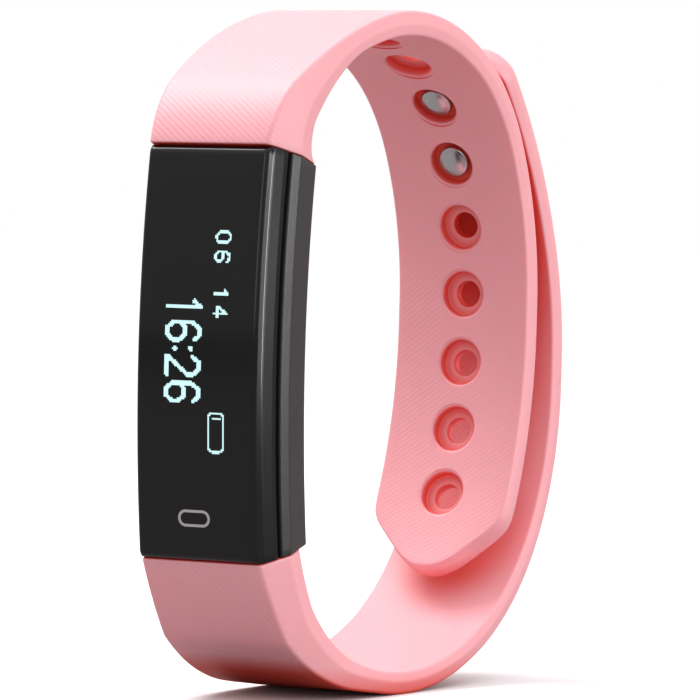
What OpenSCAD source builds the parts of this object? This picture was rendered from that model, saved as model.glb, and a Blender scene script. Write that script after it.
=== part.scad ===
// Fitness tracker band: a slim arched core with a display, held by tongues in the ends of a
// two-part elastomer strap. The strap closes with two metal studs that snap into a row of holes.
// The band stands on the bottom of its loop, with the display facing -Y and the wrist along X.

/* [Core] */
// Width of the core along the wrist axis
core_w = 15.7; // [14.5:0.1:24]
// Length of the core between the two strap ends
core_len = 40.3; // [40:0.1:42]
// Depth of the core at its middle, display to skin
core_d = 8.9; // [8.6:0.1:14]
// Radius of the lengthwise arch of the display face
face_r = 154; // [120:1:300]
// Run of each side bevel, from the flat face out to the widest line
edge_bevel = 1.2; // [0.8:0.05:2]
// Run of each side in from the widest line to the back edge
back_bevel = 0.65; // [0.4:0.05:1.5]
// Depth of the widest line behind the face
crest_d = 4.6; // [4:0.1:5.5]
// Depth of the seam between bezel and rear housing
seam_d = 3.4; // [3:0.1:3.8]
// Tilt of the core's end faces, in degrees
end_tilt = 12; // [0:1:15]
// Wall beside the inner space, from the widest line inwards
side_wall = 1.85; // [1.6:0.05:3]
// Wall at each end of the inner space
end_wall = 2.65; // [2.4:0.05:4]
// Floor of the rear housing
floor_t = 1.0; // [0.8:0.1:2]
// Radius of the rounded back edge
back_round = 0.6; // [0.3:0.1:1]

/* [Lens and display] */
// Thickness of the lens
lens_t = 1.0; // [0.8:0.1:1.1]
// Height of the rounded lens edge
lens_round = 0.5; // [0.2:0.05:0.7]
// Length of the display panel
panel_len = 28; // [20:0.5:30]
// Width of the display panel
panel_w = 11.5; // [8:0.1:11.8]
// Thickness of the display panel
panel_t = 1.2; // [0.8:0.1:1.4]
// Height of the display panel's middle above the core's middle
panel_rise = 1.5; // [0:0.1:2]
// Thickness of the foam behind the display
foam_t = 0.5; // [0.3:0.1:0.6]
// Distance of the touch key below the core's middle
key_drop = 15.9; // [15:0.1:16.2]
// Side of the square touch electrode
electrode_w = 2.6; // [1.5:0.1:2.8]

/* [Electronics] */
// Thickness of the main board
board_t = 0.8; // [0.6:0.1:1]
// Length of the main board
board_len = 34; // [30:0.5:34.5]
// Length of the battery cell
battery_len = 18; // [12:0.5:18.5]
// Width of the battery cell
battery_w = 10.5; // [8:0.1:11.5]
// Thickness of the battery cell
battery_t = 3; // [2:0.1:3.2]
// Outside diameter of the vibration motor
motor_od = 8; // [6:0.1:8.4]
// Height of the vibration motor
motor_h = 2.6; // [2.2:0.1:2.8]
// Diameter of the motor shaft
shaft_d = 0.8; // [0.6:0.05:1]
// Diameter of each charging contact on the back
contact_d = 2.4; // [1.6:0.1:2.8]
// Distance between the charging contacts
contact_pitch = 6.4; // [5:0.1:7]
// Distance that the contacts stand past the middle of the back
contact_stand = 0.3; // [0.2:0.05:0.5]

/* [Strap fixing] */
// Width of the tongue at each end of the core
tongue_w = 9; // [6:0.1:11]
// Thickness of the tongue
tongue_t = 2.6; // [1.8:0.1:2.8]
// Depth of the tongue's front behind the display face
tongue_d = 5.6; // [5.4:0.1:5.8]
// Reach of the tongue past the core's end
tongue_len = 5; // [3:0.1:5.2]
// Clearance round the tongue in its socket
tongue_clearance = 0.08; // [0.05:0.01:0.1]
// Space left past the tongue's tip
tongue_end_gap = 0.3; // [0.2:0.05:0.5]
// Gap between core and strap end
seat_gap = 0.05; // [0.02:0.01:0.1]

/* [Strap] */
// Thickness of the thin part of the hole strap
hole_strap_t = 2.5; // [2:0.1:3]
// Thickness of the thin part of the stud strap
stud_strap_t = 2.3; // [2:0.1:3]
// Thickness of the hole strap where it meets the core
strap_root_t = 8.65; // [8.4:0.05:9.5]
// Distance behind the display at which the stud strap's skin side starts
stud_root_y = 8.6; // [8.4:0.1:9.5]
// Length over which both straps thin down
taper_len = 21; // [16:0.5:26]
// Drop from the top of the hole strap's flat back to the top of the stud strap's
flat_drop = 6; // [5.8:0.1:6.2]
// Run of the small bevel along the edges of the thin strap
strap_bevel = 0.2; // [0.2:0.05:1]
// Length of the hole strap past its flat back
tip_reach = 27.6; // [20:0.1:28]
// Length of the tapered tip of the hole strap
tip_len = 5.8; // [4:0.1:8]
// Width of the blunt end of the tip
tip_w = 4.4; // [3:0.1:8]
// Length of the rounding at the stud strap's end
stud_end_round = 3.4; // [2:0.1:5]

/* [Clasp] */
// Distance between strap holes along the skin side
hole_pitch = 7.03; // [6:0.01:9]
// Diameter of the through holes
hole_d = 2.75; // [2.4:0.05:3.2]
// Diameter of the counterbore on the skin side
counterbore_d = 4.75; // [4.2:0.05:5.2]
// Depth of the counterbore
counterbore_depth = 1.25; // [1:0.05:1.4]
// Number of holes above the two stud holes
spare_holes = 2; // [1:1:2]
// Distance along the hole strap from the core to its upper stud
clasp_at = 53.55; // [52:0.1:55]
// Distance from the last hole to the strap's tip, at least
tip_margin = 8; // [7:0.1:10]
// Diameter of the stud neck
neck_d = 2.5; // [2:0.05:3]
// Diameter of the stud head
head_d = 3.35; // [3:0.05:4]
// Height of the stud head
head_h = 1.05; // [0.8:0.05:1.1]
// Gap between the two straps at the clasp, beyond the closest point of their curves
clasp_gap = 0.2; // [0.1:0.05:0.4]
// Thickness of the steel clasp plate inside the strap
plate_t = 0.4; // [0.3:0.05:0.6]
// Width of the clasp plate
plate_w = 8; // [5:0.1:10]
// Length of the stud strap past its upper stud
stud_end_margin = 4; // [3.6:0.1:8]
// Distance along the stud strap from the core to where it folds open
fold_at = 40; // [30:0.5:45]

/* [Hidden] */
$fn = 48;

half_w = core_w / 2;
half_len = core_len / 2;
face_h = half_w - edge_bevel;
back_h = half_w - back_bevel;
cavity_h = half_w - side_wall;
cavity_half_len = half_len - end_wall;
// the face is set back this far at the core's ends, by its arch
end_y = face_r - sqrt(pow(face_r, 2) - pow(half_len, 2));
arch_sweep = 2 * asin((half_len + 4) / face_r);

pink = [0.96, 0.66, 0.67];
gloss_black = [0.03, 0.03, 0.035];
satin_black = [0.09, 0.09, 0.1];
steel = [0.75, 0.76, 0.78];
gold = [0.86, 0.68, 0.32];

// A strap's side profile is a chain of tangent arcs, each [radius, sweep in degrees]. It starts
// at a place [y, z, heading], and the heading turns from +Z towards +Y. Both chains below run
// upwards from a core end, and the stud strap is then mirrored to run down from the lower end.
hole_start = [end_y, half_len, 16];
hole_arcs = [[12, 41], [48.4, 21], [29.9, 38], [22, 35.5], [35.8, 28.5]];
hole_tail_arc = [49, 40];
stud_start = [stud_root_y, half_len, 22];
stud_arcs = [[17.5, 51], [34.5, 41.5], [26, 42], [30, 23.5]];
stud_tail_arcs = [[35, 19], [52, 40]];
// the flat back is an arc of a huge radius, with the length that closes the loop
flat_r = 100000;

function arc_len(arc) = arc[0] * arc[1] * PI / 180;
function chain_len(chain, i = 0) = i == len(chain) ? 0 : arc_len(chain[i]) + chain_len(chain, i + 1);
function walk(place, arc, s) =
    let (turned = place[2] + s / arc[0] * 180 / PI)
    [place[0] + arc[0] * (cos(place[2]) - cos(turned)),
     place[1] + arc[0] * (sin(turned) - sin(place[2])), turned];
function along(place, chain, s, i = 0) =
    i == len(chain) - 1 || s <= arc_len(chain[i]) ? walk(place, chain[i], s)
    : along(walk(place, chain[i], arc_len(chain[i])), chain, s - arc_len(chain[i]), i + 1);
function flat_arc(length) = [flat_r, length / flat_r * 180 / PI];

hole_flat_top = along(hole_start, hole_arcs, chain_len(hole_arcs))[1];
stud_flat_bottom = along(stud_start, stud_arcs, chain_len(stud_arcs))[1];
flat_len = hole_flat_top + stud_flat_bottom - flat_drop;
hole_chain = concat(hole_arcs, [flat_arc(flat_len), hole_tail_arc]);
stud_chain = concat(stud_arcs, [flat_arc(flat_len)], stud_tail_arcs);

// The hole strap is drawn from its outer side and the stud strap from its skin side, so the two
// faces that meet at the clasp stay put when a strap gets thicker.
function hole_at(s) = along(hole_start, hole_chain, s);
function stud_at(s) = along(stud_start, stud_chain, s);
// a place moved inwards, towards the wrist, by depth
function inwards(place, depth) =
    [place[0] + depth * cos(place[2]), place[1] - depth * sin(place[2]), place[2]];
function mirrored(place) = [place[0], -place[1], 180 - place[2]];

// how much of the root's extra thickness is left at s
function taper(s) = pow(max(0, 1 - max(0, s) / taper_len), 1.6);
function hole_t(s) = hole_strap_t + (strap_root_t - hole_strap_t) * taper(s);
function stud_t(s) = stud_strap_t + (stud_root_y - end_y - stud_strap_t) * taper(s);

// Holes are a fixed pitch apart on the skin side, and counted from the upper stud.
function radius_at(chain, s, i = 0) =
    i == len(chain) - 1 || s <= arc_len(chain[i]) ? chain[i][0]
    : radius_at(chain, s - arc_len(chain[i]), i + 1);
function outer_pitch(s) = let (r = radius_at(hole_chain, s)) hole_pitch * r / (r - hole_strap_t);
function hole_s(k) =
    k == 0 ? clasp_at
    : k > 0 ? hole_s(k - 1) + outer_pitch(hole_s(k - 1) + hole_pitch / 2)
    : hole_s(k + 1) - outer_pitch(hole_s(k + 1) - hole_pitch / 2);
tip_s = chain_len(hole_arcs) + flat_len + tip_reach;
function last_hole(k = 1) = hole_s(k + 1) + tip_margin > tip_s ? k : last_hole(k + 1);
hole_numbers = [-spare_holes : last_hole()];

// where the stud strap passes a place on the hole strap: the nearest of evenly spaced points
function gap_to(place, s) = norm([mirrored(stud_at(s))[0] - place[0], mirrored(stud_at(s))[1] - place[1]]);
function nearest_stud_s(place) =
    let (spots = [for (s = [chain_len(stud_arcs) : 0.1 : chain_len(stud_chain)]) [gap_to(place, s), s]],
         least = min([for (spot = spots) spot[0]]))
    [for (spot = spots) if (spot[0] == least) spot[1]][0];
stud_end_s = nearest_stud_s(hole_at(clasp_at)) + stud_end_margin;

// The loop's lowest and rearmost points put it on the floor and centre its depth.
function s_at_heading(start, chain, heading, i = 0) =
    heading <= start[2] + chain[i][1] ? (heading - start[2]) / chain[i][1] * arc_len(chain[i])
    : arc_len(chain[i]) + s_at_heading(walk(start, chain[i], arc_len(chain[i])), chain, heading, i + 1);
bottom_s = s_at_heading(stud_start, stud_chain, 90);
loop_bottom = stud_at(bottom_s)[1] + stud_t(bottom_s);
loop_depth = along(stud_start, stud_arcs, chain_len(stud_arcs))[0] + stud_strap_t;

module in_place() {
    translate([0, -loop_depth / 2, loop_bottom]) children();
}

// ---- core shells: outlines are [half width, depth] lists, swept along the face's arch ----

function side_at(depth) = face_h + edge_bevel * depth / crest_d;

module arched(outline) {
    flipped = [for (i = [len(outline) - 1 : -1 : 0]) [face_r - outline[i][1], -outline[i][0]]];
    right = [for (p = outline) [face_r - p[1], p[0]]];
    translate([0, face_r, 0])
        rotate([90, 0, -90])
            rotate([0, 0, -arch_sweep / 2])
                rotate_extrude(angle = arch_sweep, $fn = 360)
                    polygon(concat(right, flipped));
}

// a prism along X from a side outline of [y, z] points
module side_prism(points, width) {
    translate([-width / 2, 0, 0])
        rotate([90, 0, 90])
            linear_extrude(width)
                polygon(points);
}

// depths well in front of the display and well behind the skin side
far_front = -5;
far_back = 25;

function end_z(y, gap = 0) = half_len + gap - (y - end_y) * tan(end_tilt);

// everything between the two tilted end faces
module between_ends() {
    side_prism([[far_front, end_z(far_front)], [far_back, end_z(far_back)],
                [far_back, -end_z(far_back)], [far_front, -end_z(far_front)]], 2 * core_w);
}

module box(width, y0, y1, z0, z1) {
    translate([-width / 2, y0, z0]) cube([width, y1 - y0, z1 - z0]);
}

module inner_space(y0, y1) {
    box(2 * cavity_h, y0, y1, -cavity_half_len, cavity_half_len);
}

// The gasket lies in a groove this far outside the inner space, half in each shell.
gasket_in = 0.35;
gasket_w = 0.6;
gasket_t = 0.5;

module around_space(reach) {
    box(2 * (cavity_h + reach), far_front, far_back, -cavity_half_len - reach, cavity_half_len + reach);
}

module seal_ring() {
    wide = cavity_h + gasket_in + gasket_w;
    difference() {
        intersection() {
            arched([[wide, seam_d - gasket_t / 2], [wide, seam_d + gasket_t / 2]]);
            around_space(gasket_in + gasket_w);
        }
        around_space(gasket_in);
    }
}

module lens() {
    color(gloss_black)
        in_place()
            intersection() {
                arched([[face_h - lens_round, 0], [face_h - lens_round / 3, lens_round / 4],
                        [side_at(lens_round), lens_round], [side_at(lens_t), lens_t]]);
                between_ends();
            }
}

module front_bezel() {
    color(gloss_black)
        in_place()
            difference() {
                intersection() {
                    arched([[side_at(lens_t), lens_t], [side_at(seam_d), seam_d]]);
                    between_ends();
                }
                inner_space(far_front, far_back);
                seal_ring();
            }
}

module case_gasket() {
    color("dimgray") in_place() seal_ring();
}

inner_floor = core_d - floor_t;

// The tongue starts inside the housing's end wall.
tongue_root = cavity_half_len + 0.1;
module tongue(grow = 0, reach = tongue_len) {
    box(tongue_w + 2 * grow, tongue_d - grow, tongue_d + tongue_t + grow, tongue_root, half_len + reach);
}

// a contact's flange stands this high inside the housing's floor
contact_flange_t = 0.4;
module charge_pin() {
    flange_y = inner_floor - contact_flange_t;
    rotate([-90, 0, 0])
        rotate_extrude()
            polygon([[0, board_back], [contact_d / 4, board_back], [contact_d / 4, flange_y],
                     [contact_d / 2, flange_y], [contact_d / 2, core_d + contact_stand],
                     [0, core_d + contact_stand]]);
}

module both_contacts() {
    for (side = [-1, 1])
        translate([side * contact_pitch / 2, 0, contact_z]) charge_pin();
}

module rear_housing() {
    color(satin_black)
        in_place()
            difference() {
                union() {
                    intersection() {
                        arched([[side_at(seam_d), seam_d], [half_w, crest_d], [back_h, core_d - back_round],
                                [back_h - back_round, core_d]]);
                        between_ends();
                    }
                    tongue();
                    mirror([0, 0, 1]) tongue();
                }
                inner_space(far_front, inner_floor);
                seal_ring();
                both_contacts();
            }
}

// ---- inside the core, from the lens back ----

lens_back_at_panel = face_r - sqrt(pow(face_r - lens_t, 2) - pow(panel_len / 2 + panel_rise, 2));
panel_y = lens_back_at_panel + 0.05;
foam_y = panel_y + panel_t;
board_y = foam_y + foam_t;
board_back = board_y + board_t;
tape_t = 0.2;
battery_z = panel_rise + panel_len / 2 - battery_len;
motor_z = -cavity_half_len + motor_od / 2 + 0.6;
contact_z = (battery_z + motor_z + motor_od / 2) / 2;

module display_panel() {
    color("midnightblue") in_place()
        box(panel_w, panel_y, foam_y, panel_rise - panel_len / 2, panel_rise + panel_len / 2);
}

module display_foam() {
    color("gray") in_place()
        box(panel_w - 1, foam_y, board_y, panel_rise - panel_len / 2 + 2, panel_rise + panel_len / 2 - 1);
}

// a ribbon from the panel's lower edge down to the board
module display_flex() {
    ribbon_t = 0.15;
    edge_z = panel_rise - panel_len / 2;
    low = edge_z - 0.7;
    color("darkorange") in_place()
        side_prism([[panel_y + 0.3, edge_z], [panel_y + 0.3, low], [board_y, low - 0.9],
                    [board_y, low - 0.3], [panel_y + 0.3 + ribbon_t, low + ribbon_t],
                    [panel_y + 0.3 + ribbon_t, edge_z]], panel_w - 4);
}

module touch_electrode() {
    lens_back = face_r - sqrt(pow(face_r - lens_t, 2) - pow(key_drop + electrode_w / 2, 2));
    color(gold) in_place()
        translate([0, 0, -key_drop]) {
            box(electrode_w, lens_back + 0.05, lens_back + 0.25, -electrode_w / 2, electrode_w / 2);
            box(electrode_w / 2, lens_back + 0.25, board_y, -electrode_w / 4, electrode_w / 4);
        }
}

module main_board() {
    color("darkgreen") in_place()
        box(2 * cavity_h - 0.3, board_y, board_back, -board_len / 2, board_len / 2);
}

module on_board(x, z, width, height, depth) {
    in_place() translate([x, 0, 0])
        box(width, board_back, board_back + depth, z - height / 2, z + height / 2);
}

module radio_chip() {
    color("black") on_board(0, contact_z, 3.4, 3, 0.8);
}

module accelerometer() {
    color("black") on_board(cavity_h - 1.4, motor_z + motor_od / 2 - 0.7, 1.6, 1.6, 0.8);
}

module small_components() {
    color("tan")
        for (z = [-1.6, 0, 1.6], side = [-1, 1])
            on_board(side * (cavity_h - 0.8), contact_z + z, 0.6, 1, 0.5);
}

module chip_antenna() {
    color("ivory") on_board(0, board_len / 2 - 0.8, 5, 1, 0.8);
}

module battery_tape() {
    color("white") in_place()
        box(battery_w - 1, board_back, board_back + tape_t, battery_z + 1, battery_z + battery_len - 1);
}

module battery_cell() {
    front = board_back + tape_t;
    color("silver") in_place()
        box(battery_w, front, front + battery_t, battery_z, battery_z + battery_len);
}

module battery_tabs() {
    color("silver")
        for (x = [-2.2, 2.2])
            in_place() translate([x, 0, 0])
                box(0.9, board_back, board_back + 0.15 + tape_t, battery_z - 0.9, battery_z);
}

module at_motor() {
    in_place() translate([0, board_back, motor_z]) rotate([-90, 0, 0]) children();
}

can_wall = 0.25;
rotor_clearance = 0.05;
// space between the weight and the can
rotor_gap = 0.3;
weight_h = motor_h - 2 * can_wall - 2 * rotor_gap;

module motor_can() {
    color(steel) at_motor()
        difference() {
            cylinder(d = motor_od, h = motor_h);
            translate([0, 0, can_wall]) cylinder(d = motor_od - 2 * can_wall, h = motor_h - 2 * can_wall);
        }
}

module motor_shaft() {
    color("silver") at_motor()
        translate([0, 0, can_wall]) cylinder(d = shaft_d, h = motor_h - 2 * can_wall);
}

// an off-centre weight: half a disc round a hub
module motor_weight() {
    weight_r = motor_od / 2 - can_wall - rotor_gap;
    hub_r = shaft_d / 2 + 0.7;
    color("goldenrod") at_motor()
        translate([0, 0, can_wall + rotor_gap])
            difference() {
                union() {
                    cylinder(r = hub_r, h = weight_h);
                    intersection() {
                        cylinder(r = weight_r, h = weight_h);
                        translate([-weight_r, 0, 0]) cube([2 * weight_r, weight_r, weight_h]);
                    }
                }
                translate([0, 0, -1]) cylinder(r = shaft_d / 2 + rotor_clearance, h = motor_h + 2);
            }
}

module charge_contacts() {
    color(gold) in_place() both_contacts();
}

// ---- straps: six-sided sections lofted along the side profile ----

function on_place(place, x, depth) = let (p = inwards(place, depth)) [x, p[0], p[1]];
// widest at the same share of the thickness all along, as on the core
crest_share = 0.56;
function section(place, front, back, width, bevel_front, bevel_back) =
    let (crest = front + (back - front) * crest_share, w = width / 2)
    [on_place(place, w - bevel_front, front), on_place(place, w, crest),
     on_place(place, w - bevel_back, back), on_place(place, bevel_back - w, back),
     on_place(place, -w, crest), on_place(place, bevel_front - w, front)];

module loft(sections) {
    n = len(sections[0]);
    last = len(sections) - 1;
    sides = [for (i = [0 : last - 1], j = [0 : n - 1]) each
        [[i * n + (j + 1) % n, i * n + j, (i + 1) * n + j],
         [(i + 1) * n + (j + 1) % n, i * n + (j + 1) % n, (i + 1) * n + j]]];
    first_cap = [for (j = [1 : n - 2]) [0, j, j + 1]];
    last_cap = [for (j = [1 : n - 2]) [last * n, last * n + j + 1, last * n + j]];
    polyhedron([for (ring = sections) each ring], concat(sides, first_cap, last_cap));
}

// bevels run from the core's at the root to the small one of the thin strap
function front_bevel(s) = strap_bevel + (edge_bevel - strap_bevel) * taper(s);
function back_bevel_at(s) = strap_bevel + (back_bevel - strap_bevel) * taper(s);

step = 1.5;
function stations(s0, s1) = let (n = ceil((s1 - s0) / step)) [for (i = [0 : n]) s0 + (s1 - s0) * i / n];
function hole_section(s, width = core_w) =
    section(hole_at(s), 0, hole_t(s), width, front_bevel(s), back_bevel_at(s));
function stud_section(s, width = core_w) =
    section(stud_at(s), -stud_t(s), 0, width, front_bevel(s), back_bevel_at(s));

// the strap's end face lies against the core's tilted end, with its back edge at back_y
function root_section(back_y) =
    [for (corner = [[half_w - edge_bevel, 0], [half_w, crest_share], [half_w - back_bevel, 1],
                    [back_bevel - half_w, 1], [-half_w, crest_share], [edge_bevel - half_w, 0]])
        let (y = end_y + (back_y - end_y) * corner[1]) [corner[0], y, end_z(y, seat_gap)]];
hole_root_y = end_y + strap_root_t * cos(hole_start[2]);
stud_root_drop = (stud_root_y - end_y) * tan(end_tilt);
stud_end_y = stud_root_y - stud_root_drop * tan(stud_start[2]);
// the first whole section of the hole strap that clears the tilted end face
hole_first_s = 2.5;
hole_socket_s = 12;
stud_socket_s = 8;
hole_tail_s = 34;

module socket() {
    tongue(tongue_clearance, tongue_len + tongue_end_gap);
}

module hole_strap_end() {
    color(pink) in_place()
        difference() {
            loft(concat([root_section(hole_root_y)],
                        [for (s = stations(hole_first_s, hole_socket_s)) hole_section(s)]));
            socket();
        }
}

module hole_strap_arch() {
    color(pink) in_place() loft([for (s = stations(hole_socket_s, hole_tail_s)) hole_section(s)]);
}

// width of the hole strap near its tip: straight sides, then straight shoulders to a blunt end
function tip_width(s) = min(core_w, tip_w + (core_w - tip_w) * (tip_s - s) / tip_len);

// a child drawn along +Z, set on the strap's outer face and pointing at the wrist
module on_hole_strap(s) {
    place = hole_at(s);
    translate([0, place[0], place[1]]) rotate([-90 - place[2], 0, 0]) children();
}

module strap_hole() {
    translate([0, 0, -1]) cylinder(d = hole_d, h = hole_strap_t + 2);
    translate([0, 0, hole_strap_t - counterbore_depth])
        cylinder(d = counterbore_d, h = counterbore_depth + 1);
}

module hole_strap_tail() {
    shoulder_s = tip_s - tip_len;
    color(pink) in_place()
        difference() {
            loft([for (s = concat(stations(hole_tail_s, shoulder_s), [tip_s]))
                hole_section(s, tip_width(s))]);
            for (k = hole_numbers) on_hole_strap(hole_s(k)) strap_hole();
        }
}

module stud_strap_end() {
    color(pink) in_place()
        mirror([0, 0, 1])
            difference() {
                loft(concat([root_section(stud_end_y)],
                            [for (s = stations(0, stud_socket_s)) stud_section(s)]));
                socket();
            }
}

module stud_strap_arch() {
    color(pink) in_place()
        mirror([0, 0, 1]) loft([for (s = stations(stud_socket_s, fold_at)) stud_section(s)]);
}

// The clasp plate lies in a recess in the stud strap's skin side, and follows the hole strap.
plate_sink = 0.3;
plate_margin = 2.6;
plate_clearance = 0.05;
plate_depth = -clasp_gap - plate_sink - plate_t;

function beside_hole_strap(spots, depth) =
    [for (s = spots) let (p = inwards(hole_at(s), depth)) [p[0], p[1]]];

module plate_blank(thickness, clearance = 0) {
    first = clasp_at - plate_margin - clearance;
    last = hole_s(1) + plate_margin + clearance;
    front = plate_depth - clearance;
    there = stations(first, last);
    back_again = [for (i = [len(there) - 1 : -1 : 0]) there[i]];
    side_prism(concat(beside_hole_strap(there, front), beside_hole_strap(back_again, front + thickness)),
               plate_w + 2 * clearance);
}

module plate() {
    difference() {
        plate_blank(plate_t);
        for (k = [0, 1]) on_hole_strap(hole_s(k)) translate([0, 0, -5]) cylinder(d = neck_d, h = 5);
    }
}

rivet_d = 3.6;
rivet_t = 0.35;
dome_h = 0.45;
dome_r = pow(head_d / 2, 2) / (2 * dome_h) + dome_h / 2;
// the head's flat side stands just off the floor of the counterbore
head_base = hole_strap_t - counterbore_depth + 0.05;
function dome_top(x) = head_base + head_h + sqrt(dome_r * dome_r - x * x) - dome_r;

// rivet foot, neck and domed head, as one turned piece
module stud() {
    rotate_extrude()
        polygon(concat([[0, plate_depth - rivet_t], [rivet_d / 2, plate_depth - rivet_t],
                        [rivet_d / 2, plate_depth], [neck_d / 2, plate_depth],
                        [neck_d / 2, head_base], [head_d / 2, head_base]],
                       [for (i = [0 : 6]) let (x = head_d / 2 * (1 - i / 6)) [x, dome_top(x)]]));
}

module both_studs() {
    for (k = [0, 1]) on_hole_strap(hole_s(k)) stud();
}

function stud_end_width(s) =
    let (past = max(0, s - stud_end_s + stud_end_round) / stud_end_round)
    core_w - 2 * stud_end_round * (1 - sqrt(1 - past * past));

module stud_strap_tail() {
    round_s = stud_end_s - stud_end_round;
    color(pink) in_place()
        difference() {
            mirror([0, 0, 1])
                loft([for (s = concat(stations(fold_at, round_s),
                                      [for (i = [1 : 6]) round_s + stud_end_round * sin(15 * i)]))
                    stud_section(s, stud_end_width(s))]);
            plate_blank(2, plate_clearance);
            both_studs();
        }
}

module clasp_plate() {
    color(steel) in_place() plate();
}

module clasp_studs() {
    color(steel) in_place() both_studs();
}

lens();
front_bezel();
case_gasket();
rear_housing();
display_panel();
display_foam();
display_flex();
touch_electrode();
main_board();
radio_chip();
accelerometer();
small_components();
chip_antenna();
battery_cell();
battery_tape();
battery_tabs();
motor_can();
motor_shaft();
motor_weight();
charge_contacts();
hole_strap_end();
hole_strap_arch();
hole_strap_tail();
stud_strap_end();
stud_strap_arch();
stud_strap_tail();
clasp_plate();
clasp_studs();
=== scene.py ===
"""Fitness tracker band: a glossy black core with a lit readout, held in a pink elastomer strap
whose two steel studs are snapped into a row of holes. Lengths here are millimetres unless said."""
import math

import bmesh
import bpy
import numpy as np
from mathutils import Matrix, Vector


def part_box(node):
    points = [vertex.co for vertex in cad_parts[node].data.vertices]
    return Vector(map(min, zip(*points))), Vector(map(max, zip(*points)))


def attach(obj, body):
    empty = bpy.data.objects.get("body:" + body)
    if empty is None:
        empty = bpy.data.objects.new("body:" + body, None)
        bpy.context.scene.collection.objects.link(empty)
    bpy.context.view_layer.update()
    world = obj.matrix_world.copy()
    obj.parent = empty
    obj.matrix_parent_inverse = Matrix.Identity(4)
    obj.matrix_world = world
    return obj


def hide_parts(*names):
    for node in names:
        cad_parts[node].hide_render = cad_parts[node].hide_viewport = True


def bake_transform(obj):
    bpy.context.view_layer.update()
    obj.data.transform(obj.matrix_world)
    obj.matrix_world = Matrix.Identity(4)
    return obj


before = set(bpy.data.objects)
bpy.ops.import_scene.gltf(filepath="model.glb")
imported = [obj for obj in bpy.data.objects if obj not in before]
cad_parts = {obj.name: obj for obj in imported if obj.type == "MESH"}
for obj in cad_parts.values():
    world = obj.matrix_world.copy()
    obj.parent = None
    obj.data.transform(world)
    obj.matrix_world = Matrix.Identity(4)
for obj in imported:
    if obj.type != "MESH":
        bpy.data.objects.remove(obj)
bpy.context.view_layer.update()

# the middle of the core's front face, in metres: every shape below is measured from it
lens_low, lens_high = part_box("lens")
FRONT = np.array([0.0, lens_low[1], (lens_low[2] + lens_high[2]) / 2])

# ---- sizes ----

CORE_W, CORE_LEN, CORE_D = 15.7, 40.3, 8.9
FACE_R = 154.0
EDGE_BEVEL, BACK_BEVEL = 1.2, 0.65
CREST_D, SEAM_D, LENS_T = 4.6, 3.4, 1.0
END_TILT = math.radians(12)
HALF_W, HALF_LEN = CORE_W / 2, CORE_LEN / 2
FACE_H = HALF_W - EDGE_BEVEL
BACK_H = HALF_W - BACK_BEVEL
END_Y = FACE_R - math.sqrt(FACE_R**2 - HALF_LEN**2)
CAVITY_H, CAVITY_HALF_LEN = HALF_W - 1.85, HALF_LEN - 2.65

HOLE_T, STUD_T = 2.5, 2.3
ROOT_T, STUD_ROOT_Y = 8.65, 8.6
TAPER_LEN = 21.0
FLAT_DROP = 6.0
THIN_BEVEL = 0.2
CREST_SHARE = 0.56
HOLE_PITCH, HOLE_D, COUNTERBORE_D, COUNTERBORE_DEPTH = 7.03, 2.75, 4.75, 1.25
HOLE_COUNT, HOLES_ABOVE_CLASP = 9, 2
TONGUE_HALF_W, TONGUE_FRONT, TONGUE_BACK, TONGUE_LEN = 4.5, 5.6, 8.2, 5
FLOOR_T = 1
ROOT_ROUND, END_ROUND, STATION_GAP = 0.15, 0.5, 0.55
ROOT_REACH, RIB_REACH = 5.0, 22
TIP_OVER, TIP_ROUND = 0.2, 1.8
CLASP_AT = 53.55
TIP_REACH, TIP_LEN, TIP_W = 27.6, 5.8, 4.4
STUD_END_S, STUD_END_ROUND = 109.2, 3.4
NECK_D, HEAD_D, HEAD_H, DOME_H = 2.5, 3.35, 1.05, 0.45


# ---- meshes ----

MERGE_DIST = 2e-6  # metres



def placed(points):
    """Points [x, y, z] measured from the core's front face, in millimetres, as row-frame metres."""
    return FRONT + np.asarray(points, float) / 1000


def make_mesh(name, points, faces, smooth_below=40):
    """A mesh object at the origin from points in millimetres. Edges flatter than smooth_below
    degrees are shaded smooth."""
    mesh = bpy.data.meshes.new(name)
    mesh.from_pydata(placed(points).tolist(), [], [tuple(map(int, f)) for f in faces])
    mesh.update()
    piece = bpy.data.objects.new(name, mesh)
    bpy.context.collection.objects.link(piece)
    shade(piece, smooth_below)
    return piece


def shade(piece, smooth_below):
    """Smooth shading with sharp edges where two faces meet at more than smooth_below degrees."""
    piece.data.polygons.foreach_set("use_smooth", np.ones(len(piece.data.polygons), bool))
    piece.data.set_sharp_from_angle(angle=math.radians(smooth_below))


def grid_faces(rows, columns, wrap=True):
    """Quads of a grid whose points are numbered row by row. With wrap, the last column joins the
    first, so that each row is a closed ring."""
    r, c = np.meshgrid(np.arange(rows - 1), np.arange(columns if wrap else columns - 1), indexing="ij")
    after = (c + 1) % columns
    return np.stack([r * columns + c, r * columns + after,
                     (r + 1) * columns + after, (r + 1) * columns + c], -1).reshape(-1, 4)


def tube_faces(rows, columns):
    """Quads between closed rings, and a fan of triangles on each end ring to a pole. The poles
    are the two points after the last ring."""
    ring = np.arange(columns)
    after = (ring + 1) % columns
    first_pole, last_pole = rows * columns, rows * columns + 1
    start = np.stack([after, ring, np.full(columns, first_pole)], -1)
    last = (rows - 1) * columns
    end = np.stack([last + ring, last + after, np.full(columns, last_pole)], -1)
    return grid_faces(rows, columns).tolist() + start.tolist() + end.tolist()


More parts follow.
